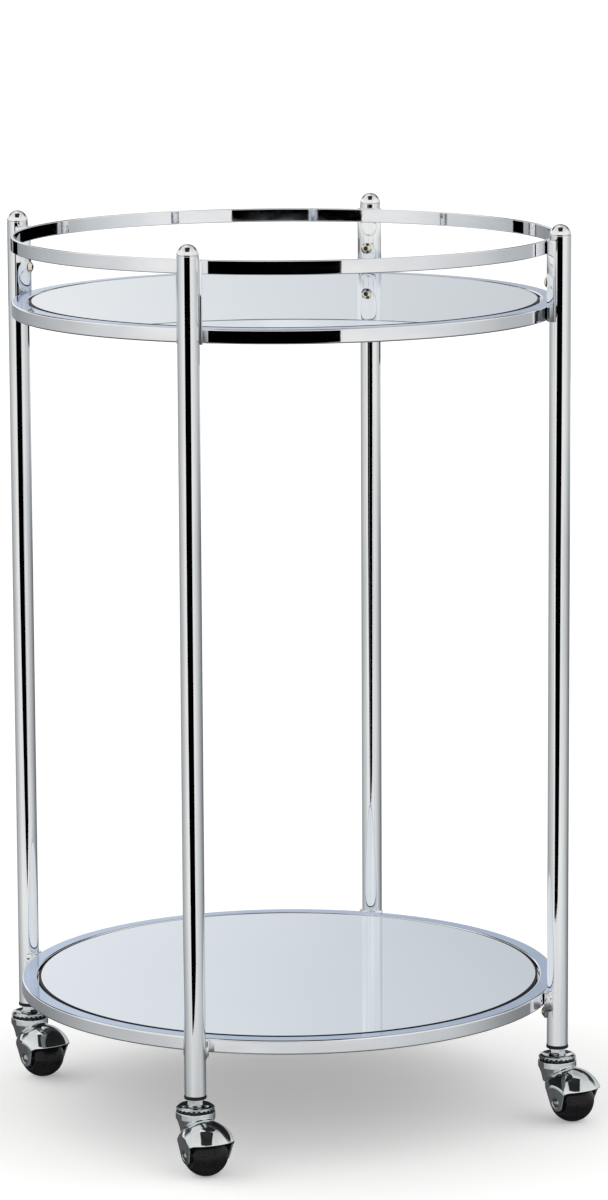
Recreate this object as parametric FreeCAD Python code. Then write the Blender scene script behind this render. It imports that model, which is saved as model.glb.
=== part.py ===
import FreeCAD, Part
import math
import os

# A round serving trolley: four tube posts carry a rail and two ring shelves with mirrors, and stand on
# hooded ball casters. Millimetres, +Z up. The origin is on the floor under the centre of the rings.
# The posts stand on the diagonals: left is -X, front is -Y.

# Overall sizes
overall_height = 811.0
ring_radius = 244.8  # outer radius of the rail and of both shelf rings
guard_height = 73.0  # post tops above the upper shelf
lower_shelf_rise = 48.5  # lower shelf above the lower ends of the posts, which the casters carry
upper_shelf_height = overall_height - guard_height

# Posts
post_radius = 9.5
post_wall = 1.2
cap_seam = 0.4  # height of the fine groove under each domed cap
cap_spigot_length = 12.0
slip_clearance = 0.05

# Rail and shelf rings
rail_top_drop = 14.2  # rail top below the post tops
rail_height = 12.5
rail_thickness = 3.0
rail_edge_radius = 0.8
shelf_tube_height = 12.7
shelf_tube_width = 14.0
shelf_tube_wall = 1.2
shelf_tube_edge_radius = 1.3
drain_hole_radius = 1.5
drain_hole_count = 4

# Mirrors and what they lie on
glass_thickness = 4.0
glass_gap = 1.5  # between the glass and the ring around it
glass_bevel = 1.2
pad_thickness = 1.0
pad_radius = 4.0
pad_count = 8
ledge_width = 12.0
ledge_thickness = 2.0

# Saddles between the rings and the posts
saddle_wall = 2.4
saddle_clearance = 0.1
saddle_half_angle = 88.0
weld_depth = 0.3  # how far each saddle is let into the ring bands
weld_clearance = 0.05
tongue_length = 12.0
tongue_half_width = 7.0

# Button head screws and the threaded inserts behind them
screw_radius = 3.0
screw_length = 12.0
screw_head_radius = 5.4
screw_head_height = 3.3
screw_socket_width = 4.0
screw_socket_depth = 2.0
screw_seat_depth = 0.5
screw_hole_clearance = 0.2
upper_screw_rise = 21.5  # above the upper shelf
lower_screw_drop = 6.0  # below the bottom of the lower shelf ring
nut_radius = 4.6
nut_length = 6.2

# Inserts in the lower post ends
insert_lip_radius = 10.0
insert_lip_height = 2.9
insert_length = 22.0
insert_lip_edge_radius = 0.8

# Casters, from the floor up
wheel_radius = 20.0
wheel_half_width = 16.5
wheel_seam_depth = 0.25
wheel_recess_depth = 1.2
wheel_recess_inset = 2.0  # from the edge of the ball's flat sides
caster_trail = 20.0  # from the swivel axis to the wheel centre
hood_gap = 7.5
hood_wall = 2.0
hood_crown_radius = 25.5  # across the caster; the hood is turned about the axle
cheek_half_distance = 20.6  # outer face of each cheek from the middle, at axle height
cheek_slant = 7.0  # degrees; the cheeks are closer together at the bottom
axle_radius = 2.5
axle_head_radius = 4.3
axle_head_height = 1.9
axle_seat_drop = 1.0  # axle head seat below the cheek's face
axle_head_clearance = 0.3
axle_boss_radius = 5.8
wheel_end_play = 0.4
tongue_radius = 8.0  # lower ends of the cheeks, about the axle
rim_corner_reach = 12.5
rim_corner_rise = 11.3
rim_front_reach = 26.2
rim_front_rise = 13.5
rim_rear_rise = 13.5
rim_corner_radius = 4.0
horn_rise = 4.1  # top of the horn above the top of the hood
horn_top_radius = 17.4
horn_rim_height = 6.0
horn_waist_radius = 13.4
horn_hollow = 0.6  # how far the side bends in between rim and waist
horn_waist_drop = 18.6
horn_foot_radius = 10.5
horn_foot_drop = 24.5
bearing_gap = 2.2
ball_radius = 1.5
ball_circle_radius = 14.6
ball_count = 24
ball_seat_clearance = 0.05
ball_running_clearance = 0.3
dust_cap_radius = 17.0
dust_cap_edge = 1.3  # height of the wide lower edge
dust_cap_edge_chamfer = 0.3
dust_cap_step_radius = 16.2
dust_cap_shoulder_width = 2.4  # the step's side leans over the shoulder to the crest
dust_cap_shoulder_drop = 0.8
dust_cap_height = 3.2
dust_cap_recess_radius = 8.6
dust_cap_floor = 2.2
dust_cap_notch_radius = 1.6
dust_cap_notch_drop = 0.6
stem_radius = 4.0
stem_thread_length = 18.0
stem_hex_width = 13.0
stem_collar_radius = 7.6
stem_collar_height = 1.0
stem_hex_height = 5.6
stem_hex_chamfer = 0.6
stem_foot_radius = 5.5
stem_foot_height = 1.7
stem_foot_clearance = 0.3
stem_pocket_clearance = 0.8
running_clearance = 0.05

spare = 1.0  # how far cutters reach past what they cut, and joined bodies into each other

# Where each post stands and which way its caster trails at rest, in degrees from +X
post_angles = {"front_left": -135.0, "front_right": -45.0, "back_right": 45.0, "back_left": 135.0}
caster_angles = {"front_left": -90.0, "front_right": -77.0, "back_right": -83.0, "back_left": -78.0}

# Sizes worked out from the ones above
saddle_inner_radius = post_radius + saddle_clearance
saddle_radius = saddle_inner_radius + saddle_wall
post_circle_radius = ring_radius - weld_depth + saddle_radius
post_bore_radius = post_radius - post_wall
hood_radius = wheel_radius + hood_gap + hood_wall
horn_top = wheel_radius + hood_radius + horn_rise
stem_pocket_radius = stem_foot_radius + stem_pocket_clearance
hood_bore_radius = hood_radius - hood_wall
horn_ceiling = wheel_radius + math.sqrt(hood_bore_radius ** 2 - (caster_trail - stem_pocket_radius) ** 2)
dust_cap_bottom = horn_top + bearing_gap
stem_hex_bottom = dust_cap_bottom + dust_cap_floor + stem_collar_height
insert_bottom = stem_hex_bottom + stem_hex_height
post_bottom = insert_bottom + insert_lip_height
cap_bottom = overall_height - post_radius
post_top = cap_bottom - cap_seam
rail_top = overall_height - rail_top_drop
rail_bottom = rail_top - rail_height
upper_ring_bottom = upper_shelf_height - shelf_tube_height
lower_shelf_height = post_bottom + lower_shelf_rise
lower_ring_bottom = lower_shelf_height - shelf_tube_height
ring_bore_radius = ring_radius - shelf_tube_width
glass_radius = ring_bore_radius - glass_gap
ledge_bore_radius = ring_bore_radius - ledge_width
pad_circle_radius = (glass_radius - glass_bevel + ledge_bore_radius) / 2
upper_screw_height = upper_shelf_height + upper_screw_rise
lower_screw_height = lower_ring_bottom - lower_screw_drop
screw_seat = saddle_radius - screw_seat_depth

up = FreeCAD.Vector(0, 0, 1)


def vector(x, y, z):
    return FreeCAD.Vector(x, y, z)


def cylinder(radius, bottom, top):
    return Part.makeCylinder(radius, top - bottom, vector(0, 0, bottom), up)


def cross_cylinder(radius, start, end):
    """A cylinder along +X, from start to end."""
    return Part.makeCylinder(radius, end - start, vector(start, 0, 0), vector(1, 0, 0))


def sleeve(outer_radius, inner_radius, bottom, top):
    return cylinder(outer_radius, bottom, top).cut(cylinder(inner_radius, bottom - spare, top + spare))


def turned(points):
    """Revolve an outline of (radius, height) points about the Z axis."""
    corners = [vector(radius, 0, height) for radius, height in points]
    face = Part.Face(Part.makePolygon(corners + corners[:1]))
    return face.revolve(vector(0, 0, 0), up, 360)


def rounded_ring(inner_radius, outer_radius, bottom, top, edge_radius):
    """Revolve a rectangle with rounded corners about the Z axis."""
    wire = Part.makePolygon([
        vector(inner_radius, 0, bottom), vector(outer_radius, 0, bottom),
        vector(outer_radius, 0, top), vector(inner_radius, 0, top), vector(inner_radius, 0, bottom),
    ])
    prism = Part.Face(wire).extrude(vector(0, 1, 0))
    along = [edge for edge in prism.Edges if abs(edge.tangentAt(edge.FirstParameter).y) > 0.99]
    rounded = prism.makeFillet(edge_radius, along)
    section = [face for face in rounded.Faces if abs(face.CenterOfMass.y) < 1e-6][0]
    return section.revolve(vector(0, 0, 0), up, 360)


def hexagon(width, bottom, top):
    corner_radius = width / 2 / math.cos(math.radians(30))
    angles = [math.radians(60 * k) for k in range(7)]
    corners = [vector(corner_radius * math.cos(a), corner_radius * math.sin(a), bottom) for a in angles]
    return Part.Face(Part.makePolygon(corners)).extrude(vector(0, 0, top - bottom))


def spread(shape, count, radius, first=0.0):
    """Copies of a shape, evenly spaced on a circle about the Z axis."""
    copies = []
    for k in range(count):
        copy = shape.copy()
        copy.translate(vector(radius, 0, 0))
        copy.rotate(vector(0, 0, 0), up, first + 360.0 * k / count)
        copies.append(copy)
    return copies


def at_post(shape, place):
    """Move a shape from the post frame, whose +X points at the cart's centre, to a post."""
    angle = post_angles[place]
    copy = shape.copy()
    copy.rotate(vector(0, 0, 0), up, angle + 180)
    copy.translate(post_centre(place))
    return copy


def at_caster(shape, place):
    """Move a shape from the caster frame, whose +X is the way the wheel trails, to a post."""
    copy = shape.copy()
    copy.rotate(vector(0, 0, 0), up, caster_angles[place])
    copy.translate(post_centre(place))
    return copy


def post_centre(place):
    angle = math.radians(post_angles[place])
    return vector(post_circle_radius * math.cos(angle), post_circle_radius * math.sin(angle), 0)


def export(shape, node):
    shape.exportStep("parts/" + node + ".step")


# Posts


def post():
    tube = sleeve(post_radius, post_bore_radius, post_bottom, post_top)
    hole_radius = screw_radius + screw_hole_clearance
    for height in (upper_screw_height, lower_screw_height):
        hole = cross_cylinder(hole_radius, 0, post_radius + spare)
        hole.translate(vector(0, 0, height))
        tube = tube.cut(hole)
    return tube


def post_cap():
    dome = Part.makeSphere(post_radius, vector(0, 0, cap_bottom), up, 0, 90, 360)
    neck = cylinder(post_radius - cap_seam, post_top, cap_bottom)
    spigot = cylinder(post_bore_radius - slip_clearance, post_top - cap_spigot_length, post_top)
    return dome.fuse([neck, spigot]).removeSplitter()


def post_insert():
    lip = cylinder(insert_lip_radius, insert_bottom, post_bottom)
    rims = [edge for edge in lip.Edges if edge.Curve.TypeId == "Part::GeomCircle"]
    lip = lip.makeFillet(insert_lip_edge_radius, rims)
    top = post_bottom + insert_length
    plug = cylinder(post_bore_radius - slip_clearance, post_bottom - spare, top)
    bore = cylinder(stem_radius + slip_clearance, insert_bottom - spare, top + spare)
    return lip.fuse(plug).cut(bore).removeSplitter()


# Rings


def weld_seats(bottom, top):
    """The round pockets in the ring bands that the saddles are welded into."""
    pocket = cylinder(saddle_radius + weld_clearance, bottom - spare, top + spare)
    return [at_post(pocket, place) for place in post_angles]


def rail_ring():
    inner_radius = ring_radius - rail_thickness
    band = rounded_ring(inner_radius, ring_radius, rail_bottom, rail_top, rail_edge_radius)
    return band.cut(weld_seats(rail_bottom, rail_top))


def shelf_ring(shelf_height):
    bottom = shelf_height - shelf_tube_height
    tube = rounded_ring(ring_bore_radius, ring_radius, bottom, shelf_height, shelf_tube_edge_radius)
    ledge_top = shelf_height - glass_thickness - pad_thickness
    ledge = sleeve(ring_bore_radius + shelf_tube_wall, ledge_bore_radius, ledge_top - ledge_thickness, ledge_top)
    hollow = sleeve(
        ring_radius - shelf_tube_wall, ring_bore_radius + shelf_tube_wall,
        bottom + shelf_tube_wall, shelf_height - shelf_tube_wall,
    )
    drain = cylinder(drain_hole_radius, bottom - spare, bottom + shelf_tube_wall + spare)
    drains = spread(drain, drain_hole_count, ring_radius - shelf_tube_width / 2)
    ring = tube.fuse(ledge).cut([hollow] + drains)
    return ring.cut(weld_seats(bottom, shelf_height)).removeSplitter()


# Mirrors and pads


def mirror(shelf_height):
    bottom = shelf_height - glass_thickness
    return turned([
        (0, bottom), (glass_radius, bottom), (glass_radius, shelf_height - glass_bevel),
        (glass_radius - glass_bevel, shelf_height), (0, shelf_height),
    ])


def glass_pads(shelf_height):
    top = shelf_height - glass_thickness
    pad = cylinder(pad_radius, top - pad_thickness, top)
    return Part.makeCompound(spread(pad, pad_count, pad_circle_radius, 180.0 / pad_count))


# Saddles, in the post frame


def half_pipe(bottom, top):
    pipe = sleeve(saddle_radius, saddle_inner_radius, bottom, top)
    half_angle = math.radians(saddle_half_angle)
    reach = 2 * saddle_radius
    corners = [
        vector(0, 0, bottom), vector(reach * math.cos(half_angle), -reach * math.sin(half_angle), bottom),
        vector(2 * reach, 0, bottom), vector(reach * math.cos(half_angle), reach * math.sin(half_angle), bottom),
    ]
    wedge = Part.Face(Part.makePolygon(corners + corners[:1])).extrude(vector(0, 0, top - bottom))
    return pipe.common(wedge)


def screw_seat_cuts(height):
    hole = cross_cylinder(screw_radius + screw_hole_clearance, 0, saddle_radius + spare)
    seat = cross_cylinder(screw_head_radius + screw_hole_clearance, screw_seat, saddle_radius + spare)
    cuts = hole.fuse(seat)
    cuts.translate(vector(0, 0, height))
    return cuts


def upper_saddle():
    return half_pipe(upper_ring_bottom, rail_top).cut(screw_seat_cuts(upper_screw_height))


def lower_saddle():
    bottom = lower_ring_bottom - tongue_length
    pipe = half_pipe(bottom, lower_shelf_height)
    width = saddle_radius + spare
    top = lower_shelf_height + spare
    shoulder = bottom + tongue_half_width
    sides = [
        vector(0, tongue_half_width, shoulder), vector(0, width, lower_ring_bottom), vector(0, width, top),
        vector(0, -width, top), vector(0, -width, lower_ring_bottom), vector(0, -tongue_half_width, shoulder),
    ]
    edges = [Part.makeLine(sides[k], sides[k + 1]) for k in range(len(sides) - 1)]
    edges.append(Part.Arc(sides[-1], vector(0, 0, bottom), sides[0]).toShape())
    face = Part.Face(Part.Wire(edges))
    return pipe.common(face.extrude(vector(width, 0, 0))).cut(screw_seat_cuts(lower_screw_height))


# Screws and threaded inserts, in the post frame


def screw(height):
    shank = cross_cylinder(screw_radius, screw_seat - screw_length, screw_seat)
    # the button is the cap of a sphere through its rim and its top
    sphere_radius = (screw_head_radius ** 2 + screw_head_height ** 2) / (2 * screw_head_height)
    ball = Part.makeSphere(sphere_radius, vector(screw_seat + screw_head_height - sphere_radius, 0, 0))
    head = ball.common(cross_cylinder(screw_head_radius, screw_seat, screw_seat + screw_head_height))
    socket = hexagon(screw_socket_width, -screw_socket_depth, spare)
    socket.rotate(vector(0, 0, 0), vector(0, 1, 0), 90)
    socket.translate(vector(screw_seat + screw_head_height, 0, 0))
    whole = head.cut(socket).fuse(shank)
    whole.translate(vector(0, 0, height))
    return whole


def threaded_insert(height):
    end = post_bore_radius - slip_clearance
    nut = cross_cylinder(nut_radius, end - nut_length, end + spare)
    nut = nut.cut(cross_cylinder(screw_radius + slip_clearance, end - nut_length - spare, end + 2 * spare))
    nut.translate(vector(0, 0, height))
    return nut.common(cylinder(end, height - nut_radius - spare, height + nut_radius + spare))


# Casters, in the caster frame

wheel_centre = vector(caster_trail, 0, wheel_radius)
across = vector(0, 1, 0)
axle_head_seat = cheek_half_distance - axle_seat_drop
# the balls sit in the hood's groove; their running gap is all on the dust cap's side
ball_circle_centre = vector(0, 0, horn_top + bearing_gap / 2 - ball_seat_clearance)


def axle_cylinder(radius, start, end):
    """A cylinder about the axle, between two distances across the caster from its middle."""
    start, end = min(start, end), max(start, end)
    return Part.makeCylinder(radius, end - start, wheel_centre + across * start, across)


def caster_wheel():
    ball = Part.makeSphere(wheel_radius, wheel_centre)
    ball = ball.common(axle_cylinder(wheel_radius + spare, -wheel_half_width, wheel_half_width))
    end_radius = math.sqrt(wheel_radius ** 2 - wheel_half_width ** 2)
    cuts = [axle_cylinder(axle_radius + running_clearance, -wheel_radius, wheel_radius)]
    for sign in (-1, 1):
        floor, rim = sign * (wheel_half_width - wheel_recess_depth), sign * wheel_half_width
        recess = axle_cylinder(end_radius - wheel_recess_inset, floor, rim)
        cuts.append(recess.cut(axle_cylinder(axle_boss_radius, floor, rim)))
    # the fine seam where the two halves of the ball meet
    cuts.append(Part.makeTorus(wheel_radius, wheel_seam_depth, wheel_centre, across))
    return ball.cut(cuts)


def cheek_slab(half_distance):
    """The space between the two slanted cheek planes, given half their distance at axle height."""
    tall = 2 * hood_radius
    lean = tall * math.tan(math.radians(cheek_slant))
    corners = [
        vector(0, -half_distance + lean, -tall), vector(0, half_distance - lean, -tall),
        vector(0, half_distance + lean, tall), vector(0, -half_distance - lean, tall),
    ]
    corners = [corner + wheel_centre - vector(tall, 0, 0) for corner in corners]
    return Part.Face(Part.makePolygon(corners + corners[:1])).extrude(vector(2 * tall, 0, 0))


def hood_outline():
    """The side view of the hood, as a prism across the caster: all above the rims, and the two tongues."""
    far = 2 * hood_radius
    slope = (rim_front_rise - rim_corner_rise) / (rim_front_reach - rim_corner_reach)
    front_rise = rim_corner_rise + slope * (far - rim_corner_reach)

    def touch_angle(rise):
        """Where the edge of a cheek meets its rounded lower end."""
        distance = math.hypot(rim_corner_reach, rise)
        return math.atan2(rise, rim_corner_reach) - math.acos(tongue_radius / distance)

    front, rear = touch_angle(rim_corner_rise), touch_angle(rim_rear_rise)
    front_touch = (tongue_radius * math.cos(front), tongue_radius * math.sin(front))
    rear_touch = (-tongue_radius * math.cos(rear), tongue_radius * math.sin(rear))
    points = [
        front_touch, (rim_corner_reach, rim_corner_rise), (far, front_rise), (far, far + horn_top),
        (-far, far + horn_top), (-far, rim_rear_rise), (-rim_corner_reach, rim_rear_rise), rear_touch,
    ]
    start = wheel_centre - across * far
    places = [start + vector(reach, 0, rise) for reach, rise in points]
    edges = [Part.makeLine(places[k], places[k + 1]) for k in range(len(places) - 1)]
    edges.append(Part.Arc(places[-1], start - up * tongue_radius, places[0]).toShape())
    prism = Part.Face(Part.Wire(edges)).extrude(across * 2 * far)
    corners = (places[1], places[6])
    sharp = [
        edge for edge in prism.Edges
        if any(abs(edge.CenterOfMass.x - c.x) + abs(edge.CenterOfMass.z - c.z) < 1e-6 for c in corners)
    ]
    return prism.makeFillet(rim_corner_radius, sharp)


def horn():
    """The turned upper end of the hood, about the swivel axis."""
    rim_bottom = horn_top - horn_rim_height
    waist = horn_top - horn_waist_drop
    foot = horn_top - horn_foot_drop
    middle = vector((horn_top_radius + horn_waist_radius) / 2 - horn_hollow, 0, (rim_bottom + waist) / 2)
    segments = [
        Part.LineSegment(vector(0, 0, foot), vector(0, 0, horn_top)),
        Part.LineSegment(vector(0, 0, horn_top), vector(horn_top_radius, 0, horn_top)),
        Part.LineSegment(vector(horn_top_radius, 0, horn_top), vector(horn_top_radius, 0, rim_bottom)),
        Part.Arc(vector(horn_top_radius, 0, rim_bottom), middle, vector(horn_waist_radius, 0, waist)),
        Part.LineSegment(vector(horn_waist_radius, 0, waist), vector(horn_foot_radius, 0, foot)),
        Part.LineSegment(vector(horn_foot_radius, 0, foot), vector(0, 0, foot)),
    ]
    face = Part.Face(Part.Wire([segment.toShape() for segment in segments]))
    return face.revolve(vector(0, 0, 0), up, 360)


def barrel(inset):
    """The hood's round outside, turned about the axle, made smaller all over by an inset."""
    crown_radius = hood_crown_radius - inset
    crown_centre = hood_radius - hood_crown_radius
    half_width = math.sqrt(crown_radius ** 2 - crown_centre ** 2)
    start, end = wheel_centre - across * half_width, wheel_centre + across * half_width
    crown = Part.Arc(start, wheel_centre + up * (crown_centre + crown_radius), end)
    face = Part.Face(Part.Wire([crown.toShape(), Part.makeLine(end, start)]))
    return face.revolve(wheel_centre, across, 360)


def caster_hood():
    outside = barrel(0).common(cheek_slab(cheek_half_distance))
    inside = barrel(hood_wall).common(cheek_slab(cheek_half_distance - hood_wall))
    shell = outside.fuse(horn()).cut(inside).common(hood_outline())
    bosses = []
    cuts = [axle_cylinder(axle_radius + slip_clearance, -hood_radius, hood_radius)]
    for sign in (-1, 1):
        boss = axle_cylinder(axle_boss_radius, sign * (wheel_half_width + wheel_end_play), sign * axle_head_seat)
        bosses.append(boss.common(cheek_slab(cheek_half_distance)))
        head_pocket = axle_head_radius + axle_head_clearance
        cuts.append(axle_cylinder(head_pocket, sign * axle_head_seat, sign * hood_radius))
    cuts.append(cylinder(stem_radius + running_clearance, 0, horn_top + spare))
    cuts.append(cylinder(stem_pocket_radius, wheel_radius, horn_ceiling))
    cuts.append(Part.makeTorus(ball_circle_radius, ball_radius + ball_seat_clearance, ball_circle_centre, up))
    return shell.fuse(bosses).cut(cuts).removeSplitter()


def caster_axle():
    pin = axle_cylinder(axle_radius, -axle_head_seat, axle_head_seat)
    sphere_radius = (axle_head_radius ** 2 + axle_head_height ** 2) / (2 * axle_head_height)
    end = axle_head_seat + axle_head_height
    heads = []
    for sign in (-1, 1):
        ball = Part.makeSphere(sphere_radius, wheel_centre + across * sign * (end - sphere_radius))
        heads.append(ball.common(axle_cylinder(axle_head_radius, sign * axle_head_seat, sign * end)))
    return pin.fuse(heads)


def bearing_balls():
    ball = Part.makeSphere(ball_radius, ball_circle_centre)
    return Part.makeCompound(spread(ball, ball_count, ball_circle_radius))


def dust_cap():
    bottom = dust_cap_bottom
    step = bottom + dust_cap_edge
    crest = bottom + dust_cap_height
    dish = bottom + dust_cap_floor
    chamfer = dust_cap_edge_chamfer
    cap = turned([
        (stem_radius + slip_clearance, bottom), (dust_cap_radius - chamfer, bottom),
        (dust_cap_radius, bottom + chamfer), (dust_cap_radius, step - chamfer), (dust_cap_radius - chamfer, step),
        (dust_cap_step_radius, step), (dust_cap_step_radius, crest - dust_cap_shoulder_drop),
        (dust_cap_step_radius - dust_cap_shoulder_width, crest), (dust_cap_recess_radius, dish),
        (stem_radius + slip_clearance, dish),
    ])
    groove = Part.makeTorus(ball_circle_radius, ball_radius + ball_running_clearance, ball_circle_centre, up)
    # a small arched window in the lower edge over each ball
    window = cross_cylinder(dust_cap_notch_radius, 0, dust_cap_radius - ball_circle_radius + spare)
    window.translate(vector(0, 0, bottom - dust_cap_notch_drop))
    return cap.cut([groove] + spread(window, ball_count, ball_circle_radius))


def caster_stem():
    foot_top = horn_ceiling - stem_foot_clearance
    foot = cylinder(stem_foot_radius, foot_top - stem_foot_height, foot_top)
    pin = cylinder(stem_radius, foot_top - stem_foot_height, insert_bottom + stem_thread_length)
    nut = hexagon(stem_hex_width, stem_hex_bottom, insert_bottom)
    # the hex's corners are turned down at both ends
    flat = stem_hex_width / 2
    corner = flat / math.cos(math.radians(30))
    blank = turned([
        (0, stem_hex_bottom), (flat, stem_hex_bottom), (corner, stem_hex_bottom + stem_hex_chamfer),
        (corner, insert_bottom - stem_hex_chamfer), (flat, insert_bottom), (0, insert_bottom),
    ])
    collar = cylinder(stem_collar_radius, stem_hex_bottom - stem_collar_height, stem_hex_bottom)
    return pin.fuse([foot, nut.common(blank), collar]).removeSplitter()


os.makedirs("parts", exist_ok=True)

export(rail_ring(), "rail_ring")
for level, shelf_height in (("upper", upper_shelf_height), ("lower", lower_shelf_height)):
    export(shelf_ring(shelf_height), level + "_shelf_ring")
    export(mirror(shelf_height), level + "_mirror")
    export(glass_pads(shelf_height), level + "_glass_pads")
for level, height in (("upper", upper_screw_height), ("lower", lower_screw_height)):
    export(Part.makeCompound([at_post(screw(height), place) for place in post_angles]), level + "_screws")
    inserts = [at_post(threaded_insert(height), place) for place in post_angles]
    export(Part.makeCompound(inserts), level + "_threaded_inserts")

post_pieces = {
    "post": post(), "post_cap": post_cap(), "post_insert": post_insert(),
    "upper_saddle": upper_saddle(), "lower_saddle": lower_saddle(),
}
caster_pieces = {
    "caster_stem": caster_stem(), "dust_cap": dust_cap(), "bearing_balls": bearing_balls(),
    "caster_hood": caster_hood(), "caster_axle": caster_axle(), "caster_wheel": caster_wheel(),
}
for place in post_angles:
    for name, shape in post_pieces.items():
        export(at_post(shape, place), name + "_" + place)
    for name, shape in caster_pieces.items():
        export(at_caster(shape, place), name + "_" + place)
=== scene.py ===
import math
import bmesh
import bpy
import numpy as np
from mathutils import Matrix, Vector


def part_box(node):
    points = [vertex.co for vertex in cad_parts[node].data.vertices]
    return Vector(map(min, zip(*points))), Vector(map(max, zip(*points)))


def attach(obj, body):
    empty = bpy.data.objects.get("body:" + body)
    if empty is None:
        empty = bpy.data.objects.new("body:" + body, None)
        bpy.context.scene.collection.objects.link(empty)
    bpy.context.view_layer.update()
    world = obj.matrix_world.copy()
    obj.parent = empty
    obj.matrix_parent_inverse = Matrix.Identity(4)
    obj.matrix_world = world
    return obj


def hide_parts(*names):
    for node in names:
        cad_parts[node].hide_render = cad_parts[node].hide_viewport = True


# A round bar cart: chrome posts, a rail, two ring shelves with mirrors, four hooded ball casters.
# Sizes are metres. Front is -Y and left is -X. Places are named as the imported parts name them.

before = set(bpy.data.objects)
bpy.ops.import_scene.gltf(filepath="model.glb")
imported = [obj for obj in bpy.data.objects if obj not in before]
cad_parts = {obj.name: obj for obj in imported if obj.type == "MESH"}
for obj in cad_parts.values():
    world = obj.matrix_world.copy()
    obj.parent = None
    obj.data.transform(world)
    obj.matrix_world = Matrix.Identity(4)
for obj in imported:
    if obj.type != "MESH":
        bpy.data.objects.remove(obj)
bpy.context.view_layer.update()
placeNames = ["front_left", "front_right", "back_right", "back_left"]
hairline = 0.0001  # the narrow strip kept beside a sharp edge
smallBevel = 0.0003  # the bevel on small turned parts
mergeReach, leastEdge = 2e-6, 1e-7  # points nearer than the first are one; shorter edges than the second go
print("frame loaded:", len(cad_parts), "nodes")


def boxCentre(node):
    low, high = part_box(node)
    return (np.array(low) + np.array(high)) / 2


def heights(node):
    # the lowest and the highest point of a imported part
    return [corner.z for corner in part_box(node)]


# where each post stands, and the way to the cart's centre and the way each caster trails, as angles
postAt = {place: boxCentre("post_" + place) for place in placeNames}
wheelAt = {place: boxCentre("caster_wheel_" + place) for place in placeNames}
inwardAngle = {place: math.atan2(-postAt[place][1], -postAt[place][0]) for place in placeNames}
trailWay = {place: wheelAt[place] - postAt[place] for place in placeNames}
trailAngle = {place: math.atan2(way[1], way[0]) for place, way in trailWay.items()}
trail = float(np.hypot(*trailWay["front_left"][:2]))


def outline(corners, radii, steps=5, keep=0.00015):
    # corners (a, b) of a closed flat outline; each is rounded by an arc of its own radius, and a point
    # is kept just before and after the arc, so that the flats stay flat under smooth shading
    points = []
    count = len(corners)
    for k, radius in enumerate(radii):
        corner = np.array(corners[k], float)
        back = np.array(corners[k - 1], float) - corner
        ahead = np.array(corners[(k + 1) % count], float) - corner
        back, ahead = back / np.linalg.norm(back), ahead / np.linalg.norm(ahead)
        half = math.acos(float(np.clip(back @ ahead, -1, 1))) / 2
        reach = radius / math.tan(half)
        middle = back + ahead
        centre = corner + middle / np.linalg.norm(middle) * radius / math.sin(half)
        start, end = corner + back * reach, corner + ahead * reach
        share = np.linspace(0, 1, steps + 1)[:, None]
        swing = math.pi - 2 * half
        arc = (np.sin((1 - share) * swing) * (start - centre) + np.sin(share * swing) * (end - centre))
        points += [start + back * keep, *(centre + arc / math.sin(swing)), end + ahead * keep]
    return np.array(points)


def tubeLine(outer, inner, low, high, edge):
    # section of a tube wall or a flat band stood on edge, with four round edges
    return outline([(outer, low), (outer, high), (inner, high), (inner, low)], [edge] * 4)


def wholeTurn(steps):
    return np.linspace(0, 2 * math.pi, steps, endpoint=False)


def turned(line, steps):
    # line points (r, h) go once round the Z axis: x = r cos t, y = r sin t, z = h
    angle = wholeTurn(steps)[:, None]
    return np.stack([line[:, 0] * np.cos(angle), line[:, 0] * np.sin(angle), line[:, 1] + 0 * angle], -1)


def rings(rows, angle):
    # rings one above another: x = r cos t, y = r sin t, z = h, where the r and the h of a ring are one
    # number each or a number for every angle
    return np.stack([np.stack([r * np.cos(angle), r * np.sin(angle), h + 0 * angle], -1) for r, h in rows])


def hexReach(width, angle):
    # how far the outline of a hexagon lies from its middle, by its width across flats
    return width / 2 / np.cos((angle + math.pi / 6) % (math.pi / 3) - math.pi / 6)


def placed(points, angle, centre):
    # turned by an angle about the Z axis, then moved in plan to a centre; heights stay
    c, s = math.cos(angle), math.sin(angle)
    x, y = points[..., 0], points[..., 1]
    return np.stack([c * x - s * y + centre[0], s * x + c * y + centre[1], points[..., 2]], -1)


def gridFaces(rows, columns, loopRows, loopColumns, first):
    # one quad for each cell of a grid of points, with the last row or column joined to the first on a loop
    row = np.arange(rows if loopRows else rows - 1)[:, None]
    column = np.arange(columns if loopColumns else columns - 1)[None, :]
    nextRow, nextColumn = (row + 1) % rows, (column + 1) % columns
    corners = [row * columns + column, nextRow * columns + column,
               nextRow * columns + nextColumn, row * columns + nextColumn]
    return np.stack(corners, -1).reshape(-1, 4) + first


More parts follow.
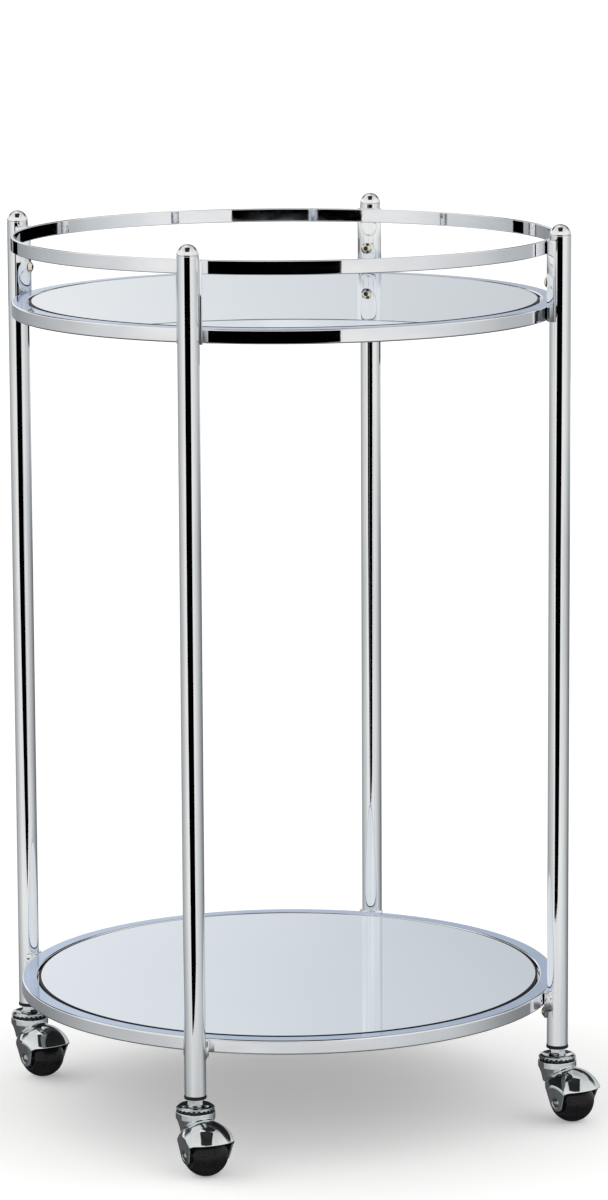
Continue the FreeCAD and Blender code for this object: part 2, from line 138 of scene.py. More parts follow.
def makePiece(name, node, materials, surfaces, sharp=None, body="cart_frame"):
    # surfaces are (grid of points, rows loop, columns loop, material number); poles and seams are merged,
    # and edges that turn by more than sharp degrees are left sharp
    verts, faces, numbers, first = [], [], [], 0
    for grid, loopRows, loopColumns, number in surfaces:
        cells = gridFaces(grid.shape[0], grid.shape[1], loopRows, loopColumns, first)
        verts.append(grid.reshape(-1, 3))
        faces.append(cells)
        numbers.append(np.full(len(cells), number))
        first += grid.shape[0] * grid.shape[1]
    mesh = bpy.data.meshes.new(name)
    mesh.from_pydata(np.concatenate(verts).tolist(), [], np.concatenate(faces).tolist())
    mesh.polygons.foreach_set("material_index", np.concatenate(numbers).astype(np.int32))
    mesh.shade_smooth()
    work = bmesh.new()
    work.from_mesh(mesh)
    bmesh.ops.remove_doubles(work, verts=work.verts, dist=mergeReach)
    bmesh.ops.dissolve_degenerate(work, edges=work.edges, dist=leastEdge)
    bmesh.ops.recalc_face_normals(work, faces=work.faces)
    if sharp:
        for edge in work.edges:
            edge.smooth = edge.calc_face_angle(0) <= math.radians(sharp)
    work.to_mesh(mesh)
    work.free()
    return finishPiece(name, mesh, node, body, materials)


def finishPiece(name, mesh, node, body, materials):
    for material in materials:
        mesh.materials.append(finish[material])
    piece = bpy.data.objects.new(name, mesh)
    bpy.context.scene.collection.objects.link(piece)
    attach(piece, body)
    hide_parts(node)
    return piece


def titled(name, place):
    return name + "".join(word.capitalize() for word in place.split("_"))


def newNode(tree, kind, inputs, **settings):
    # each input is a fixed value or the output of another node
    node = tree.nodes.new("ShaderNode" + kind)
    for name, value in settings.items():
        setattr(node, name, value)
    for socket, value in inputs.items():
        if isinstance(value, bpy.types.NodeSocket):
            tree.links.new(value, node.inputs[socket])
        else:
            node.inputs[socket].default_value = value
    return node


def cloud(tree, scale, stretch=(1, 1, 1), detail=3.0, turn=0.0):
    # soft noise on the object's own coordinates
    place = newNode(tree, "TexCoord", {}).outputs["Object"]
    mapping = newNode(tree, "Mapping", {"Vector": place, "Scale": stretch, "Rotation": (0, 0, turn)})
    inputs = {"Vector": mapping.outputs["Vector"], "Scale": scale, "Detail": detail}
    return newNode(tree, "TexNoise", inputs).outputs["Fac"]


def spreadTo(tree, source, low, high, fromLow=0.35, fromHigh=0.65):
    inputs = {"Value": source, "From Min": fromLow, "From Max": fromHigh, "To Min": low, "To Max": high}
    return newNode(tree, "MapRange", inputs).outputs["Result"]


def colourRamp(tree, source, stops):
    # stops are (position, colour), with straight lines between them
    ramp = newNode(tree, "ValToRGB", {"Fac": source})
    elements = ramp.color_ramp.elements
    while len(elements) > 1:
        elements.remove(elements[-1])
    for k, (position, colour) in enumerate(stops):
        element = elements[0] if k == 0 else elements.new(position)
        element.position = position
        element.color = (*colour, 1)
    return ramp.outputs["Color"]


def makeFinish(name, look):
    # one cloud of noise drives the colour from dark to light, another the roughness, a third the raised
    # skin; a look without its own second or third cloud uses the first
    material = bpy.data.materials.new(name)
    material.use_nodes = True
    tree = material.node_tree
    shader = tree.nodes["Principled BSDF"]
    for socket, value in look["sockets"].items():
        shader.inputs[socket].default_value = value
    first = cloud(tree, *look["cloud"])
    tone = colourRamp(tree, first, [(0.35, look["dark"]), (0.65, look["light"])])
    tree.links.new(tone, shader.inputs["Base Color"])
    if "rough" in look:
        wear = cloud(tree, *look["wear"]) if "wear" in look else first
        tree.links.new(spreadTo(tree, wear, *look["rough"]), shader.inputs["Roughness"])
    if "relief" in look:
        strength, distance = look["relief"]
        skin = cloud(tree, *look["skin"]) if "skin" in look else first
        bump = newNode(tree, "Bump", {"Height": skin, "Strength": strength, "Distance": distance})
        tree.links.new(bump.outputs["Normal"], shader.inputs["Normal"])
    return material


# plating: "peel" is how deep the faint orange-peel surface is
platedLook = {
    "tubeChrome": {"edge": (0.96, 0.97, 0.98), "dark": (0.80, 0.815, 0.83), "light": (0.90, 0.91, 0.92),
                   "rough": (0.015, 0.05), "scale": 22, "stretch": (6, 6, 0.35), "peel": 0.012},
    "ringChrome": {"edge": (0.95, 0.97, 1.0), "dark": (0.81, 0.825, 0.85), "light": (0.90, 0.91, 0.93),
                   "rough": (0.015, 0.05), "scale": 14, "stretch": (1, 1, 3), "peel": 0.012},
    # the rings' flat top: the same chrome tinted blue and darker, a painted reflection of the sky
    "flangeChromeSkyTint": {"edge": (0.76, 0.82, 0.92), "dark": (0.575, 0.65, 0.785), "light": (0.645, 0.72, 0.845),
                     "rough": (0.03, 0.07), "scale": 14, "peel": 0.012},
    "castChrome": {"edge": (0.92, 0.95, 0.96), "dark": (0.66, 0.70, 0.72), "light": (0.78, 0.815, 0.825),
                   "rough": (0.02, 0.08), "scale": 70, "peel": 0.03},
    "pressedChrome": {"edge": (0.92, 0.94, 0.95), "dark": (0.65, 0.69, 0.71), "light": (0.77, 0.80, 0.81),
                      "rough": (0.03, 0.10), "scale": 110, "peel": 0.02},
    # the rivet heads: steel, its tone darkened also as painted shade of the pockets the heads sit in
    "rivetSteelPocketShade": {"edge": (0.60, 0.62, 0.64), "dark": (0.27, 0.29, 0.30), "light": (0.40, 0.42, 0.44),
                   "rough": (0.10, 0.22), "scale": 160, "peel": 0.02},
    "screwNickel": {"edge": (0.92, 0.88, 0.80), "dark": (0.72, 0.66, 0.54), "light": (0.84, 0.78, 0.66),
                    "rough": (0.08, 0.16), "scale": 160, "peel": 0.02},
}
# black plastic and greased steel, and the painted shade down the screws' sockets
blackLook = {
    "wheelNylon": {"dark": (0.004, 0.0035, 0.0045), "light": (0.010, 0.009, 0.011), "rough": (0.14, 0.30),
                   "scale": 520, "bump": 0.02, "shine": 0.22},
    "insertPlastic": {"dark": (0.006, 0.006, 0.006), "light": (0.018, 0.018, 0.018), "rough": (0.4, 0.6),
                      "scale": 1500, "bump": 0.15, "shine": 0.2},
    # the screws' sockets: painted shade, near black, in place of the nickel in shadow
    "socketShade": {"dark": (0.01, 0.009, 0.008), "light": (0.04, 0.035, 0.03), "rough": (0.3, 0.5),
                    "scale": 1200, "bump": 0.1},
    "greasedSteel": {"dark": (0.008, 0.008, 0.009), "light": (0.03, 0.03, 0.032), "rough": (0.15, 0.4),
                     "scale": 900, "bump": 0.05},
}
# silver with faint wipe marks, the glass's ground edge with the shade of the gap and the dark reflection of the
# bevel painted in, the paint under it, the hoods' dull inside, the pads
otherLook = {
    "mirrorSilver": {"sockets": {"Metallic": 1.0, "Specular Tint": (0.95, 0.97, 0.99, 1)}, "cloud": (3.0,),
                     "dark": (0.79, 0.85, 0.91), "light": (0.83, 0.88, 0.94),
                     "wear": (9.0, (1, 7, 1), 4.0, 0.6), "rough": (0.0, 0.02, 0.5, 0.8)},
    "glassEdgeAndShade": {"sockets": {"Specular IOR Level": 0.04}, "cloud": (900, (1, 1, 1), 2.0),
                  "dark": (0.008, 0.012, 0.018), "light": (0.025, 0.032, 0.042), "rough": (0.3, 0.5)},
    "mirrorBackPaint": {"sockets": {}, "cloud": (600,), "dark": (0.010, 0.011, 0.012),
                        "light": (0.022, 0.024, 0.026), "rough": (0.5, 0.7), "relief": (0.15, 0.0003)},
    "hoodInside": {"sockets": {"Metallic": 0.8}, "cloud": (500, (1, 1, 1), 4.0), "dark": (0.05, 0.05, 0.052),
                   "light": (0.16, 0.16, 0.165), "rough": (0.3, 0.55), "relief": (0.3, 0.0003)},
    "clearPad": {"sockets": {"Transmission Weight": 0.85, "IOR": 1.45}, "cloud": (700,),
                 "dark": (0.78, 0.80, 0.82), "light": (0.92, 0.93, 0.94), "rough": (0.15, 0.35)},
}


def plated(edge, dark, light, rough, scale, peel, stretch=(1, 1, 1)):
    return {"sockets": {"Metallic": 1.0, "Specular Tint": (*edge, 1)}, "dark": dark, "light": light,
            "cloud": (scale, stretch), "wear": (scale * 2.7, stretch, 5.0), "rough": rough,
            "skin": (420, (1, 1, 1), 2.0), "relief": (peel, 0.0004)}


def blackened(dark, light, rough, scale, bump, shine=0.5):
    return {"sockets": {"Specular IOR Level": shine}, "dark": dark, "light": light,
            "cloud": (scale, (1, 1, 1), 4.0), "wear": (scale * 0.2, (1, 2.5, 1), 6.0), "rough": rough,
            "relief": (bump, 0.0003)}


looks = {name: plated(**look) for name, look in platedLook.items()}
looks |= {name: blackened(**look) for name, look in blackLook.items()} | otherLook
finish = {name: makeFinish(name, look) for name, look in looks.items()}
print("finishes made:", len(finish))


railBand = {"outer": 0.2448, "thickness": 0.0030, "edge": 0.0008, "steps": 320}
shelfRing = {"outer": 0.2448, "width": 0.0140, "height": 0.0127, "edge": 0.0013, "ledge": 0.0120,
             "ledgeThickness": 0.0020, "seatDrop": 0.0050, "seatEdge": 0.0004, "ledgeEdge": 0.0005,
             "steps": 320}
shelfGlass = {"radius": 0.2293, "thickness": 0.0040, "bevel": 0.0012, "darkEdge": 0.0022, "underEdge": 0.0008,
              "faceRings": (0, 0.08, 0.16), "underRings": (0.1, 0), "steps": 320, "sharp": 25}


def buildRail():
    low, high = heights("rail_ring")
    inner = railBand["outer"] - railBand["thickness"]
    line = tubeLine(railBand["outer"], inner, low, high, railBand["edge"])
    makePiece("railBand", "rail_ring", ["ringChrome"],
              [(turned(line, railBand["steps"]), True, True, 0)])


def buildShelf(level):
    # the ring is a square section with a thin ledge inward, and the mirror a bevelled disc; both are turned
    ring, glass = shelfRing, shelfGlass
    top = heights(level + "_shelf_ring")[1]
    bottom, bore = top - ring["height"], ring["outer"] - ring["width"]
    ledgeTop, ledgeBore = top - ring["seatDrop"], bore - ring["ledge"]
    ledgeBottom = ledgeTop - ring["ledgeThickness"]
    corners = [(ring["outer"], bottom), (ring["outer"], top), (bore, top), (bore, ledgeTop),
               (ledgeBore, ledgeTop), (ledgeBore, ledgeBottom), (bore, ledgeBottom), (bore, bottom)]
    edge, seatEdge, ledgeEdge = ring["edge"], ring["seatEdge"], ring["ledgeEdge"]
    line = outline(corners, [edge, edge, edge, seatEdge, ledgeEdge, ledgeEdge, seatEdge, edge])
    grid = turned(line, ring["steps"])
    # the flat top is a material of its own, the ring's chrome tinted bluer and darker as a painted reflection
    # of the sky above: the cells whose points both lie at the top
    topRows = np.where(line[:, 1] > top - 1e-6)[0]
    first, last = int(topRows.min()), int(topRows.max())
    surfaces = [(grid[:, first:last + 1], True, False, 1),
                (grid[:, np.r_[last:len(line), 0:first + 1]], True, False, 0)]
    makePiece(level + "ShelfRing", level + "_shelf_ring",
              ["ringChrome", "flangeChromeSkyTint"], surfaces)
    # the dark glass from the rim out over the bevel is partly painted: the ground edge of the glass, and the
    # shade of the gap round the mirror with the dark reflection of the bevel
    radius, bevel, rim = glass["radius"], glass["bevel"], glass["radius"] - glass["darkEdge"]
    under = top - glass["thickness"]
    face = [(r, top) for r in (*glass["faceRings"], rim)]
    side = [(rim, top), (radius - bevel - hairline, top), (radius - bevel, top), (radius, top - bevel),
            (radius, under + smallBevel), (radius - smallBevel, under)]
    back = [(r, under) for r in (radius - smallBevel, radius - glass["underEdge"], *glass["underRings"])]
    surfaces = [(turned(np.array(part), glass["steps"]), True, False, k)
                for k, part in enumerate((face, side, back))]
    makePiece(level + "Mirror", level + "_mirror",
              ["mirrorSilver", "glassEdgeAndShade", "mirrorBackPaint"], surfaces, glass["sharp"])


buildRail()
for level in ("upper", "lower"):
    buildShelf(level)
print("rail, rings and mirrors made")


postTube = {"radius": 0.0095, "bore": 0.0083, "edge": 0.0003, "steps": 96}
domeCap = {"neck": 0.0091, "seam": 0.0004, "spigot": 0.0120, "domeStart": 0.03, "domeRings": 26, "sharp": 40}
tubeInsert = {"lip": 0.0100, "edge": 0.0008, "plug": 0.00825, "bore": 0.00405, "height": 0.0029,
              "length": 0.0220, "steps": 72}
saddlePipe = {"outer": 0.0120, "inner": 0.0096, "halfAngle": math.radians(76), "tongue": 0.0070,
              "flare": 0.001, "edge": 0.0004, "columns": 44, "endPoints": 7, "endBulge": 0.55, "sharp": 50}
buttonScrew = {"radius": 0.0054, "height": 0.0033, "seat": 0.0115, "socket": 0.0040, "depth": 0.0020,
               "socketEdge": 0.00025, "shank": 0.0030, "length": 0.0120, "domeRings": 12, "steps": 72,
               "sharp": 35}


def buildPost(place):
    low, high = heights("post_" + place)
    tube, lip = postTube, tubeInsert
    grid = turned(tubeLine(tube["radius"], tube["bore"], low, high, tube["edge"]), tube["steps"])
    makePiece(titled("postTube", place), "post_" + place, ["tubeChrome"],
              [(placed(grid, 0, postAt[place]), True, True, 0)])
    # dome: a quarter circle from the seam up to the pole, above a groove and a spigot in the tube
    equator = high + domeCap["seam"]
    bend = np.linspace(domeCap["domeStart"], math.pi / 2, domeCap["domeRings"])
    dome = np.stack([tube["radius"] * np.cos(bend), equator + tube["radius"] * np.sin(bend)], -1)
    foot, fit = high - domeCap["spigot"], tube["bore"] - hairline
    below = [(0, foot), (fit, foot), (fit, high - 2 * hairline), (domeCap["neck"], high),
             (domeCap["neck"], equator - hairline / 2), (tube["radius"] - hairline, equator)]
    grid = turned(np.concatenate([below, dome]), tube["steps"])
    makePiece(titled("domeCap", place), "post_cap_" + place, ["tubeChrome"],
              [(placed(grid, 0, postAt[place]), True, False, 0)], domeCap["sharp"])
    # insert: a lip below the tube's end and a plug inside it, with a bore for the caster's stem
    bottom = heights("post_insert_" + place)[0]
    shoulder = bottom + lip["height"]
    corners = [(lip["bore"], bottom), (lip["lip"], bottom), (lip["lip"], shoulder), (lip["plug"], shoulder),
               (lip["plug"], shoulder + lip["length"]), (lip["bore"], shoulder + lip["length"])]
    line = outline(corners, [smallBevel, lip["edge"], lip["edge"], 2 * hairline, smallBevel, smallBevel])
    makePiece(titled("tubeInsert", place), "post_insert_" + place, ["insertPlastic"],
              [(placed(turned(line, lip["steps"]), 0, postAt[place]), True, True, 0)])


def saddleSection(shrink):
    # closed section of the half pipe: out along the outer arc, back along the inner one, round ends
    pipe = saddlePipe
    angle = np.linspace(-pipe["halfAngle"], pipe["halfAngle"], pipe["columns"])
    middle, half = (pipe["outer"] + pipe["inner"]) / 2, (pipe["outer"] - pipe["inner"]) / 2 - shrink
    cap = np.linspace(0, math.pi, pipe["endPoints"] + 2)[1:-1]
    around = np.stack([np.cos(angle), np.sin(angle)], -1)
    ends = []
    for sign in (1, -1):
        across = np.array([math.cos(angle[-1]), sign * math.sin(angle[-1])])
        along = np.array([-math.sin(angle[-1]), sign * math.cos(angle[-1])])
        swing = (cap if sign > 0 else cap[::-1])[:, None]
        bulge = np.cos(swing) * across + np.sin(swing) * along * pipe["endBulge"]
        ends.append(middle * across + half * bulge)
    return np.concatenate([(middle + half) * around, ends[0], ((middle - half) * around)[::-1], ends[1]])


def buildSaddle(level, place):
    # the section goes up the post; the lower saddle's foot narrows to a rounded tongue:
    # bottom(y) is a half circle as wide as the tongue, then a straight slope out to the ring's underside
    node, edge, tongue = level + "_saddle_" + place, saddlePipe["edge"], saddlePipe["tongue"]
    low, high = heights(node)
    # both ends are rounded: (height above the end, section there)
    ends = [(lift, saddleSection(inset)) for lift, inset in ((0, edge), (0.25 * edge, 0.35 * edge), (edge, 0))]
    section = ends[-1][1]
    bottom = np.full(len(section), low)
    if level == "lower":
        side = np.abs(section[:, 1])
        roundFoot = low + tongue - np.sqrt(np.maximum(tongue ** 2 - np.minimum(side, tongue) ** 2, 0))
        reach = (side - tongue) / (saddlePipe["outer"] + saddlePipe["flare"] - tongue)
        slope = low + tongue + reach * (heights("lower_shelf_ring")[0] - low - tongue)
        bottom = np.where(side < tongue, roundFoot, slope)
    lines = [np.column_stack([part, bottom + lift]) for lift, part in ends]
    lines += [np.column_stack([part, np.full(len(part), high - lift)]) for lift, part in reversed(ends)]
    lines = np.stack(lines)
    # each end is closed by a strip between the outer and the inner half of its first line
    half = lines.shape[1] // 2
    lines = placed(lines, inwardAngle[place], postAt[place])
    surfaces = [(lines, False, True, 0)]
    for row in (lines[0], lines[-1]):
        shifted = np.roll(row, (saddlePipe["endPoints"] + 1) // 2, axis=0)
        surfaces.append((np.stack([shifted[:half], shifted[half:][::-1]]), False, False, 0))
    makePiece(titled(level + "Saddle", place), node, ["tubeChrome"], surfaces,
              saddlePipe["sharp"])


def screwGrid():
    # a button head along +X: a shank, a rim, a sphere in to the hexagon's edge, and down its socket
    screw, angle = buttonScrew, wholeTurn(buttonScrew["steps"])
    hexEdge = hexReach(screw["socket"], angle)
    sphere = (screw["radius"] ** 2 + screw["height"] ** 2) / (2 * screw["height"])
    rows = [(0, -screw["length"]), (screw["shank"], -screw["length"]), (screw["shank"], 0),
            (screw["radius"] - 2 * hairline, 0), (screw["radius"], 2 * hairline)]
    for share in np.linspace(0.06, 1, screw["domeRings"]):
        radius = screw["radius"] * (1 - share) + (hexEdge + screw["socketEdge"]) * share
        rows.append((radius, np.sqrt(sphere ** 2 - radius ** 2) - sphere + screw["height"]))
    rim, floor = rows[-1][1], screw["height"] - screw["depth"]
    rows += [(hexEdge + hairline, rim - 0.2 * hairline), (hexEdge, rim - 2 * hairline), (hexEdge, floor),
             (hexEdge * 0.9, floor - hairline), (0, floor - smallBevel)]
    return np.roll(rings(rows, angle), 1, axis=-1) + (screw["seat"], 0, 0)


def buildScrews(level):
    lift = np.array([0, 0, sum(heights(level + "_screws")) / 2])
    grids = [placed(screwGrid() + lift, inwardAngle[place], postAt[place]) for place in placeNames]
    # the last rows run down the socket and have the dark material, painted shade in the socket
    wall = len(grids[0]) - 4
    surfaces = [(grid[:wall + 1], False, True, 0) for grid in grids]
    surfaces += [(grid[wall:], False, True, 1) for grid in grids]
    makePiece(level + "Screws", level + "_screws", ["screwNickel", "socketShade"], surfaces,
              buttonScrew["sharp"])


for place in placeNames:
    buildPost(place)
    for level in ("upper", "lower"):
        buildSaddle(level, place)
for level in ("upper", "lower"):
    buildScrews(level)
print("posts, saddles and screws made")


# a caster is worked out about its own swivel axis, with +X the way the wheel trails, then placed
dustCap = {"radius": 0.0170, "edge": 0.0013, "step": 0.0162, "shoulderWidth": 0.0024, "shoulderDrop": 0.0008,
           "dish": 0.0086, "dishFloor": 0.0022, "bore": 0.00405, "balls": 24, "ballCircle": 0.0146,
           "groove": 0.0018, "ballDrop": 0.00115, "window": 0.0016, "windowDrop": 0.0006, "steps": 384,
           "windowRings": (0.0167, 0.0163), "grooveRings": (0.0159, 0.0133, 12), "innerRings": (0.0120, 0.0080),
           "sharp": 40}
stem = {"hex": 0.0130, "chamfer": 0.0006, "collar": 0.0076, "collarHeight": 0.0010, "hexHeight": 0.0056,
        "pin": 0.0040, "pinEdge": 0.0005, "foot": 0.0055, "footHeight": 0.0017, "chamferRings": 7,
        "steps": 144, "sharp": 30}
ballWheel = {"radius": 0.0200, "halfWidth": 0.0165, "recess": 0.0093, "recessDepth": 0.0012, "hub": 0.0058,
             "bore": 0.00255, "groove": 0.00025, "rimStep": 0.0004, "steps": 128, "sharp": 55,
             "seamBends": (0.0, 0.004, 0.008, 0.0125, 0.0155, 0.020), "ballEnds": (0.04, 0.02), "ballRings": 40}
axleRivet = {"pin": 0.0025, "seat": 0.0196, "head": 0.0043, "rise": 0.0019, "rings": 14, "steps": 64,
             "sharp": 50}
hood = {"radius": 0.0295, "crown": 0.0255, "cheek": 0.0206, "slant": math.radians(7), "wall": 0.0020,
        "hornRadius": 0.0174, "hornRim": 0.0060, "waist": 0.0134, "waistDrop": 0.0186, "hollow": 0.0006,
        "hornFoot": 0.0105, "footDrop": 0.0245, "hornBlend": 0.0011, "edge": 0.0008, "cheekEdge": 0.0010,
        "cutEdge": 0.0002, "tongue": 0.0080, "cornerReach": 0.0125, "cornerRise": 0.0113,
        "frontReach": 0.0262, "frontRise": 0.0135, "rearRise": 0.0135, "rimFillet": 0.0040, "boss": 0.0058,
        "bossStart": 0.0169, "headPocket": 0.0046, "axleBore": 0.00252, "stemHole": 0.00405,
        "stemPocket": 0.0063, "pocketTop": 0.04384, "ballGroove": 0.00155}
# the grid the hood is drawn on: its cell, its ends across the wheel, and how far it passes the hood
hoodGrid = {"cell": 0.00045, "across": (-0.0262, 0.0265), "past": 0.001, "pastTongue": 0.0012,
            "draws": 12, "leastSlope": 0.05, "longestMove": 0.4, "reach": 1.2, "slopeStep": 4e-6}
wheelHeight = ballWheel["radius"]
hornTop = heights("caster_hood_front_left")[1]
capBottom, capTop = heights("dust_cap_front_left")
hexBottom = capBottom + dustCap["dishFloor"] + stem["collarHeight"]


def underCap(radius, angle):
    # underside of the dust cap: flat, with a round groove over the balls and arched windows outside it
    cap = dustCap
    pitch = 2 * math.pi / cap["balls"]
    aside = radius * np.sin((angle + pitch / 2) % pitch - pitch / 2)
    groove = np.sqrt(np.maximum(cap["groove"] ** 2 - (radius - cap["ballCircle"]) ** 2, 0)) - cap["ballDrop"]
    window = np.sqrt(np.maximum(cap["window"] ** 2 - aside ** 2, 0)) - cap["windowDrop"]
    window = np.where(radius > cap["ballCircle"], window, 0)
    return capBottom + np.maximum(np.maximum(groove, window), 0)


def capGrid():
    # rings from the bore out over the dish, the crest, the step and the rim, then in along the underside
    cap, angle = dustCap, wholeTurn(dustCap["steps"])
    floor, shoulder, step = capBottom + cap["dishFloor"], capTop - cap["shoulderDrop"], capBottom + cap["edge"]
    crest, wall, rim, half = cap["step"] - cap["shoulderWidth"], cap["step"], cap["radius"], hairline / 2
    rows = [(cap["bore"], floor), (cap["dish"], floor), (cap["dish"] + hairline, floor + half),
            (crest - smallBevel, capTop - half), (crest, capTop), (crest + smallBevel, capTop - half),
            (wall - smallBevel, shoulder + half), (wall, shoulder - 2 * hairline), (wall, step + hairline),
            (wall + hairline, step), (rim - smallBevel, step), (rim - hairline, step - hairline),
            (rim, step - smallBevel)]
    for radius, lift in ((rim, smallBevel), (rim - hairline, hairline)):
        rows.append((radius, np.minimum(underCap(radius, angle) + lift, step - smallBevel)))
    grooveRings = np.linspace(*cap["grooveRings"])
    for radius in (*cap["windowRings"], *grooveRings, *cap["innerRings"], cap["bore"]):
        rows.append((radius, underCap(radius, angle)))
    return rings(rows, angle)


def stemGrid():
    # foot, pin, collar, hex with turned corners, pin; the hex is the least of a hexagon and a cone
    angle, hexTop = wholeTurn(stem["steps"]), hexBottom + stem["hexHeight"]
    bottom, top = heights("caster_stem_front_left")
    flat, half = hexReach(stem["hex"], angle), stem["hex"] / 2
    slope = (half / math.cos(math.pi / 6) - half) / stem["chamfer"]
    foot, footTop, under = stem["foot"], bottom + stem["footHeight"], hexBottom - stem["collarHeight"]
    rows = [(0, bottom), (foot - smallBevel, bottom), (foot, bottom + smallBevel), (foot, footTop - smallBevel),
            (foot - smallBevel, footTop), (stem["pin"], footTop), (stem["pin"], under),
            (stem["collar"] - 2 * hairline, under), (stem["collar"], under + 2 * hairline),
            (stem["collar"], hexBottom - 2 * hairline), (stem["collar"] - 2 * hairline, hexBottom)]
    shares = np.linspace(0, 1, stem["chamferRings"])
    for start, way in ((hexBottom, 1), (hexTop, -1)):
        for share in shares[::way]:
            cone = half + slope * share * stem["chamfer"]
            rows.append((np.minimum(flat, cone), start + way * share * stem["chamfer"]))
    rows += [(stem["pin"], hexTop), (stem["pin"], top - stem["pinEdge"]), (stem["pin"] - stem["pinEdge"], top),
             (0, top)]
    return rings(rows, angle)


def aboutAxle(line, steps):
    # line points (r, y) go once round the axle, which lies across the caster through the wheel's centre
    grid = turned(line, steps)
    return np.stack([grid[..., 0] + trail, grid[..., 2], grid[..., 1] + wheelHeight], -1)


def wheelLine():
    # half the ball's section from the seam groove out to the hub, mirrored to the other half
    wheel, half = ballWheel, ballWheel["halfWidth"]
    end = math.asin(half / wheel["radius"])
    start, stop = wheel["ballEnds"]
    bend = np.r_[wheel["seamBends"], np.linspace(start, end - stop, wheel["ballRings"])]
    sphere = wheel["radius"] - np.sqrt(np.maximum(wheel["groove"] ** 2 - (bend * wheel["radius"]) ** 2, 0))
    ball = np.stack([sphere * np.cos(bend), sphere * np.sin(bend)], -1)
    rim, floor = wheel["radius"] * math.cos(end), half - wheel["recessDepth"]
    recess, hub, bore = wheel["recess"], wheel["hub"], wheel["bore"]
    side = [(rim + hairline, half - hairline), (rim - wheel["rimStep"], half), (recess + smallBevel, half),
            (recess, half - smallBevel), (recess, floor + smallBevel), (recess - smallBevel, floor),
            (hub + smallBevel, floor), (hub, floor + smallBevel), (hub, half - 2 * hairline),
            (hub - 2 * hairline, half), (bore + 2 * hairline, half), (bore, half - 2 * hairline)]
    line = np.concatenate([ball, side])
    return np.concatenate([line, line[:0:-1] * (1, -1)])


def rivetLine():
    # a domed head, part of a sphere, on the end of the pin, mirrored to the other end
    rivet = axleRivet
    sphere = (rivet["head"] ** 2 + rivet["rise"] ** 2) / (2 * rivet["rise"])
    spread = np.linspace(0, rivet["head"] - hairline, rivet["rings"])
    dome = rivet["seat"] + rivet["rise"] - sphere + np.sqrt(sphere ** 2 - spread ** 2)
    seat = [(rivet["head"], rivet["seat"]), (rivet["pin"], rivet["seat"])]
    head = np.concatenate([np.stack([spread, dome], -1), seat])
    return np.concatenate([head, head[::-1] * (1, -1)])


def roundMax(first, second, radius):
    # what two solids share, with the edge between them rounded
    corner = np.hypot(np.maximum(radius + first, 0), np.maximum(radius + second, 0))
    return np.minimum(np.maximum(first, second), -radius) + corner


def roundMin(first, second, radius):
    # two solids joined, with a fillet between them
    return -roundMax(-first, -second, radius)


def hornSection(step=0.00005, past=0.004, soft=14):
    # radius of the turned horn by height: a straight rim, an arc in to the waist, a cone to the foot,
    # then smoothed over a few steps to each side
    rim, waist = hornTop - hood["hornRim"], hornTop - hood["waistDrop"]
    start, end = np.array([hood["hornRadius"], rim]), np.array([hood["waist"], waist])
    middle = np.array([(start[0] + end[0]) / 2 - hood["hollow"], (rim + waist) / 2])
    lines = 2 * np.array([middle - start, end - start])
    centre = np.linalg.solve(lines, [middle @ middle - start @ start, end @ end - start @ start])
    reach = np.linalg.norm(start - centre)
    height = np.arange(hornTop - hood["footDrop"] - past, hornTop + past, step)
    arc = centre[0] - np.sqrt(np.maximum(reach ** 2 - (height - centre[1]) ** 2, 0))
    taper = (hood["waist"] - hood["hornFoot"]) / (hood["footDrop"] - hood["waistDrop"])
    cone = hood["waist"] + (height - waist) * taper
    radius = np.where(height > rim, hood["hornRadius"], np.where(height > waist, arc, cone))
    window = np.hanning(2 * soft + 3)[1:-1]
    smooth = np.convolve(np.pad(radius, soft, mode="edge"), window / window.sum(), "valid")
    return height, smooth


hornHeights, hornRadii = hornSection()


def rimField(along, rise):
    # side outline: all above the two rims, joined to a tongue that is round below the axle
    def touch(cornerRise):
        distance = math.hypot(hood["cornerReach"], cornerRise)
        return math.atan2(cornerRise, hood["cornerReach"]) - math.acos(hood["tongue"] / distance)

    front, rear = touch(hood["cornerRise"]), math.pi - touch(hood["rearRise"])
    slope = math.atan2(hood["frontRise"] - hood["cornerRise"], hood["frontReach"] - hood["cornerReach"])
    aheadRim = (along - hood["cornerReach"]) * math.sin(slope) - (rise - hood["cornerRise"]) * math.cos(slope)
    above = np.where(along > 0, aheadRim, hood["rearRise"] - rise)
    sides = np.maximum(along * math.cos(front) + rise * math.sin(front),
                       along * math.cos(rear) + rise * math.sin(rear))
    angle = np.arctan2(rise, along)
    below = (angle < front) & (angle > rear - 2 * math.pi)
    tongue = np.where(below, np.hypot(along, rise), sides) - hood["tongue"]
    return roundMin(above, tongue, hood["rimFillet"])


def hollowField(x, y, z, inset):
    # a barrel turned about the axle, cut by the two slanted cheeks, all moved in by an inset
    along, rise = x - trail, z - wheelHeight
    centre = hood["radius"] - hood["crown"]
    barrel = np.hypot(np.hypot(along, rise) - centre, y) - (hood["crown"] - inset)
    cheeks = (np.abs(y) - hood["cheek"] + inset - rise * math.tan(hood["slant"])) * math.cos(hood["slant"])
    return roundMax(barrel, cheeks, hood["cheekEdge"])


